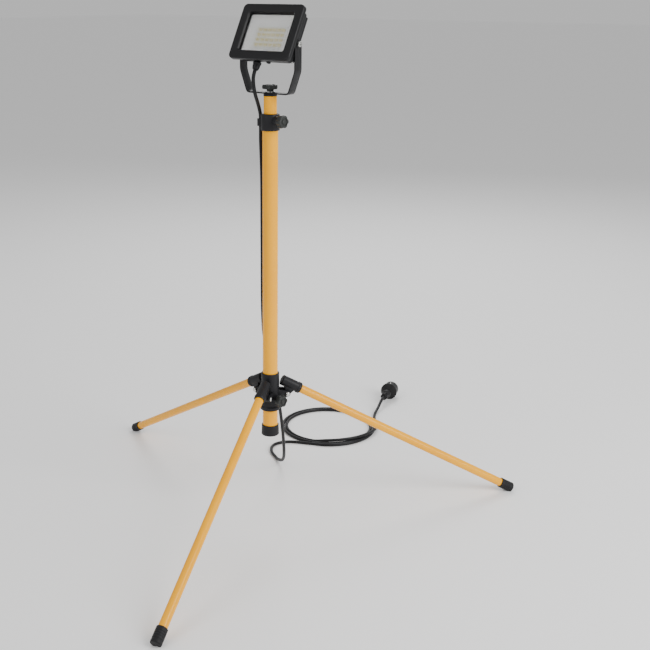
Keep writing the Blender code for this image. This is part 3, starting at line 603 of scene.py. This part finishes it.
for side, label in ((-1, "a"), (1, "b")):
    at = PLUG @ Matrix.Translation((side * 9.5 * MM, 0.0, 0.0))
    pin_outline = [(0, 90.0)] + arc(0.9, 88.5, 1.5, 85, 0) + [(2.4, 80.0), (2.4, 70.6), (0, 70.6)]
    pin = lathe(f"pin_{label}", pin_outline, NICKEL, at, 40, closed=False)
    piece(pin, "hub", "bright_steel", f"plug_pin_{label}")
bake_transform(main_cord)


# ---------------------------------------------------------------- finishes on the CAD nodes that stay
FINISH = {
    "tripod_hub": CHARCOAL, "mast_collar": CHARCOAL, "mast_end_cap": CHARCOAL, "mast_glide": CHARCOAL,
    "mast_top_plug": CHARCOAL, "cable_gland": CHARCOAL, "vent_plug": CHARCOAL,
    "lamp_bracket": BRACKET_COAT, "lamp_gasket": GASKET, "pivot_washer_left": GASKET,
    "pivot_washer_right": GASKET, "bracket_washer": STEEL, "led_board": BOARD,
}
EDGE = {"tripod_hub": 0.5, "mast_collar": 0.4, "mast_end_cap": 0.4, "lamp_bracket": 0.35, "cable_gland": 0.3,
        "mast_top_plug": 0.3}
for name, obj in NODES.items():
    finish = FINISH.get(name)
    if finish is None and name.startswith("leg_") and name.endswith("socket"):
        finish = CHARCOAL
        EDGE[name] = 0.4
    if finish is None:
        finish = STEEL
    for slot in obj.material_slots:
        slot.material = finish
    weld = obj.modifiers.new("weld", "WELD")
    weld.merge_threshold = 1e-6
    if name in EDGE:
        bevel(obj, EDGE[name] * MM, 2, 38.0)
    shade(obj, 38.0)


# ---------------------------------------------------------------- mast
for name, body, node, bore, r, low, high in (
        ("tube_outer", "outer_mast", "outer_tube", 13.8, 15.0, 168.5, 791.5),
        ("tube_inner", "inner_mast", "inner_tube", 11.5, 12.5, 290.0, 842.5)):
    outline = [(bore, low), (r - 0.2, low), (r, low + 0.3), (r, high - 0.3), (r - 0.2, high), (bore, high)]
    piece(lathe(name, outline, YELLOW, Matrix.Translation(MAST)), body, "yellow_paint", node)


# ---------------------------------------------------------------- legs
for label, az in LEGS.items():
    out = radial(az) * math.cos(LEG_SLOPE) - Vector((0.0, 0.0, math.sin(LEG_SLOPE)))
    leg = along(MAST + Vector((0.0, 0.0, LEG_APEX_Z)), out, radial(az + 90.0))
    shaft = lathe(f"shaft_{label}", [(7.5, 33.0), (8.5, 33.0), (8.5, 582.0), (7.5, 582.0)], YELLOW, leg, 64)
    piece(shaft, f"leg_{label}", "yellow_paint", f"leg_{label}_tube")
    grip = []
    for k in range(4):
        s = 568.0 + k * 4.4
        grip += [(10.45, s), (10.45, s + 2.6), (9.95, s + 3.1), (9.95, s + 3.9)]
    foot_outline = ([(8.8, 563.0), (9.6, 563.0)] + arc(9.7, 563.8, 0.8, -90, 0, 3) + [(10.45, 567.0)] + grip
                    + [(10.45, 586.6)] + arc(8.3, 590.4, 2.2, 0, 90, 5)
                    + [(0, 592.6), (0, 582.4), (8.8, 582.4)])
    foot = lathe(f"foot_{label}", foot_outline, FOOT, leg, 72)
    for v in foot.data.vertices:
        v.co.z = max(v.co.z, 0.0)
    piece(foot, f"leg_{label}", "foot_rubber", f"leg_{label}_foot")
    lip = [(11.2, 62.6)] + arc(11.0, 63.2, 0.6, -60, 60, 4) + [(11.2, 63.9), (10.9, 63.9), (10.9, 62.6)]
    mouth = lathe(f"socket_ring_{label}", lip, CHARCOAL, leg, 72)
    piece(mouth, f"leg_{label}", "charcoal_plastic")


# ---------------------------------------------------------------- clamp knobs
def knob(name, radius, lobes, depth, lo, hi, mat, matrix, neck, bore, dish=1.6):
    """Moulded hand knob: rounded lobes, dished face with a centre boss, neck and bore."""
    count = lobes * 20
    body = hi - lo
    rows = [
        (bore, neck[1], 0.0), (neck[0], neck[1], 0.0), (neck[0] + 0.5, lo - 0.2, 0.0),
        (radius * 0.70, lo, 0.25), (radius * 0.92, lo + body * 0.05, 0.8),
        (radius * 0.985, lo + body * 0.16, 1.0),
        (radius, lo + body * 0.30, 1.0), (radius, lo + body * 0.62, 1.0),
        (radius * 0.985, lo + body * 0.78, 1.0), (radius * 0.94, lo + body * 0.90, 0.95),
        (radius * 0.86, lo + body * 0.975, 0.85), (radius * 0.78, hi, 0.7), (radius * 0.62, hi - 0.2, 0.4),
        (radius * 0.56, hi - dish, 0.2), (radius * 0.36, hi - dish, 0.0), (radius * 0.33, hi - 0.3, 0.0),
        (radius * 0.28, hi, 0.0), (0.0, hi, 0.0)]
    bore_end = (hi - 3.2) * MM

    def lobed(amount):
        """How the radius dips between the lobes."""
        return lambda a: 1.0 - amount * depth * (0.5 - 0.5 * math.cos(lobes * a)) ** 1.6

    bm = bmesh.new()
    rings = [hoop(bm, count, r, h, lobed(amount)) for r, h, amount in rows]
    bore_ring = [bm.verts.new((v.co.x, v.co.y, bore_end)) for v in rings[0]]
    cap = bm.verts.new((0.0, 0.0, bore_end))
    skin(bm, [[cap] * count, bore_ring] + rings)
    return close(name, bm, mat, matrix, 50.0)


for label, body in (("hub_knob", "hub_clamp"), ("mast_knob", "mast_clamp")):
    out = radial(KNOB_AZ[label])
    at = along(MAST + out * 0.030 + Vector((0.0, 0.0, KNOB_H[label])), out)
    made = knob(label + "_grip", 12.8, 6, 0.15, -1.4, 10.4, KNOB, at, (6.4, -2.6), 3.3)
    piece(made, body, "knob_plastic", label)
PLATE = MAST + Vector((0.0, 0.0, 0.8481))
wing = knob("bracket_grip", 15.4, 5, 0.30, 7.2, 15.6, KNOB, Matrix.Translation(PLATE), (6.4, 3.4), 4.3, 1.2)
piece(wing, "bracket_clamp", "knob_plastic", "bracket_knob")


# ---------------------------------------------------------------- lamp
def grow(width, height, radius, by):
    """Rounded rectangle around the face centre, grown by a margin on every side."""
    return rounded(width + 2 * by, height + 2 * by, max(radius + by, 0.0006), FACE_C)


BEZEL = (0.141, 0.111, 0.009)
WINDOW = (0.103, 0.075, 0.003)
BODY = (0.122, 0.101, 0.007)
bezel_rows = [(grow(*BEZEL, by), y) for by, y in (
    (-0.0022, -0.0130), (-0.0006, -0.0133), (0.0, -0.0142), (0.0, -0.0208), (-0.0005, -0.0221),
    (-0.0016, -0.0229), (-0.0030, -0.0230))]
bezel_rows += [(grow(*WINDOW, by), y) for by, y in (
    (0.0034, -0.0230), (0.0026, -0.0228), (0.0021, -0.0221), (0.0, -0.0196), (0.0, -0.0193),
    (0.0025, -0.0193), (0.0025, -0.0130))]
bezel = loft("lamp_frame", bezel_rows, LAMP_COAT, LAMP, ring=True, angle=40.0)
piece(bezel, "lamp", "lamp_paint", "lamp_bezel")

shell_rows = [
    (grow(*BODY, by), y) for by, y in (
        (-0.0052, -0.0012), (-0.0052, -0.0127), (-0.0008, -0.0127), (0.0, -0.0119), (0.0, -0.0100),
        (-0.0011, -0.0092), (-0.0011, -0.0078), (0.0, -0.0070), (0.0, 0.0030), (-0.0006, 0.0044),
        (-0.0022, 0.0050), (-0.0200, 0.0050))]
shell = loft("lamp_shell", shell_rows, LAMP_COAT, LAMP, angle=40.0)
piece(shell, "lamp", "lamp_paint", "lamp_housing")


def slabs(name, blocks, mat, edge=0.0006):
    """Softly edged blocks in the lamp's own frame, given as (centre, size)."""
    bm = bmesh.new()
    for centre, size in blocks:
        made = bmesh.ops.create_cube(bm, size=1.0)["verts"]
        bmesh.ops.scale(bm, vec=size, verts=made)
        bmesh.ops.translate(bm, vec=centre, verts=made)
    bmesh.ops.bevel(bm, geom=list(bm.edges), offset=edge, segments=2, affect="EDGES", profile=0.6)
    return close(name, bm, mat, LAMP, 40.0)


FINS = 12
FIN_Y = 0.0082
fins = [(((k - (FINS - 1) / 2) * 0.0086, FIN_Y, FACE_C), (0.0026, 0.0072, 0.083)) for k in range(FINS)]
fins += [((side * 0.0570, FIN_Y, FACE_C), (0.0044, 0.0072, 0.088)) for side in (-1, 1)]
piece(slabs("lamp_fins", fins, LAMP_COAT), "lamp", "lamp_paint")
for side, label in ((-1, "left"), (1, "right")):
    at = LAMP @ along((0, 0, 0), (side, 0, 0))
    boss_outline = [(0, 58.0), (9.2, 58.0), (9.2, 60.6), (8.8, 61.6), (8.3, 62.3), (3.0, 62.3),
                    (2.8, 60.0), (0, 60.0)]
    boss = lathe(f"boss_{label}", boss_outline, LAMP_COAT, at, 64, closed=False)
    piece(boss, "lamp", "lamp_paint")
    head_outline = [(2.5, 57.6), (2.5, 67.0), (5.2, 67.0), (5.45, 67.3), (5.4, 68.6), (4.9, 69.6),
                    (4.0, 70.2), (2.7, 70.2), (2.5, 69.9), (2.5, 68.0), (0, 68.0)]
    head = lathe(f"pivot_head_{label}", head_outline, STEEL, at, 60, closed=False)
    piece(head, "lamp", "bright_steel", f"pivot_screw_{label}")

BOARD_HOLE = rounded(0.0706, 0.0466, 0.002, FACE_C - 0.005)
tray_rows = [
    (grow(*WINDOW, 0.0024), -0.0129), (grow(*WINDOW, 0.0016), -0.0129),
    (grow(0.088, 0.064, 0.003, 0.0), -0.0046), (grow(0.086, 0.062, 0.003, 0.0), -0.0042),
    (BOARD_HOLE, -0.0042), (BOARD_HOLE, -0.0031), (grow(0.090, 0.066, 0.003, 0.0), -0.0031)]
tray = loft("reflector_tray", tray_rows, REFLECTOR, LAMP, ring=True, angle=35.0)
piece(tray, "lamp", "white_reflector", "lamp_reflector")
board = slabs("array_board", [((0.0, -0.0041, FACE_C - 0.005), (0.0696, 0.0018, 0.0456))], BOARD, 0.0003)
piece(board, "lamp", "white_reflector", "led_board")
COLS, ROWS = 6, 4
chips = [(((i - (COLS - 1) / 2) * 0.0108, -0.00585, FACE_C - 0.0050 + (k - (ROWS - 1) / 2) * 0.0100),
          (0.0072, 0.0015, 0.0064)) for i in range(COLS) for k in range(ROWS)]
piece(slabs("led_chips", chips, PHOSPHOR, 0.0005), "lamp", "led_phosphor", "led_array")
pane = loft("clear_window", [(grow(*WINDOW, 0.0019), -0.0190), (grow(*WINDOW, 0.0022), -0.0187),
                             (grow(*WINDOW, 0.0022), -0.0163), (grow(*WINDOW, 0.0019), -0.0160)], GLASS, LAMP)
piece(pane, "lamp", "clear_glass", "lamp_glass")


# ---------------------------------------------------------------- studio
def plane(name, size, z):
    bm = bmesh.new()
    bmesh.ops.create_grid(bm, x_segments=1, y_segments=1, size=size)
    mesh = bpy.data.meshes.new(name)
    bm.to_mesh(mesh)
    bm.free()
    obj = bpy.data.objects.new(name, mesh)
    obj.location = (MAST.x, MAST.y, z)
    bpy.context.scene.collection.objects.link(obj)
    return obj


floor = plane("floor", 30.0, 0.0)
floor_surface = Surface("floor_white", (0.95, 0.95, 0.95), 0.9)
floor.data.materials.append(floor_surface.mat)
world = bpy.data.worlds.new("studio")
world.use_nodes = True
world.node_tree.nodes["Background"].inputs["Color"].default_value = (1.0, 1.0, 1.0, 1.0)
world.node_tree.nodes["Background"].inputs["Strength"].default_value = 0.60
bpy.context.scene.world = world


def softbox(name, az, dist, height, size, power, target=(0.0, 0.0, 0.45)):
    """Area light aimed at the stand."""
    data = bpy.data.lights.new(name, "AREA")
    data.shape = "RECTANGLE"
    data.size, data.size_y = size
    data.energy = power
    obj = bpy.data.objects.new(name, data)
    bpy.context.scene.collection.objects.link(obj)
    a = math.radians(az)
    obj.location = MAST + Vector((math.sin(a) * dist, -math.cos(a) * dist, height))
    aim = MAST + Vector(target) - obj.location
    obj.rotation_euler = aim.to_track_quat("-Z", "Y").to_euler()
    return obj


softbox("key", 92.0, 2.4, 1.7, (1.4, 2.0), 70.0)
softbox("fill", -15.0, 2.8, 2.2, (1.6, 1.6), 22.0)
softbox("rim", 205.0, 2.6, 2.4, (1.4, 1.4), 45.0)
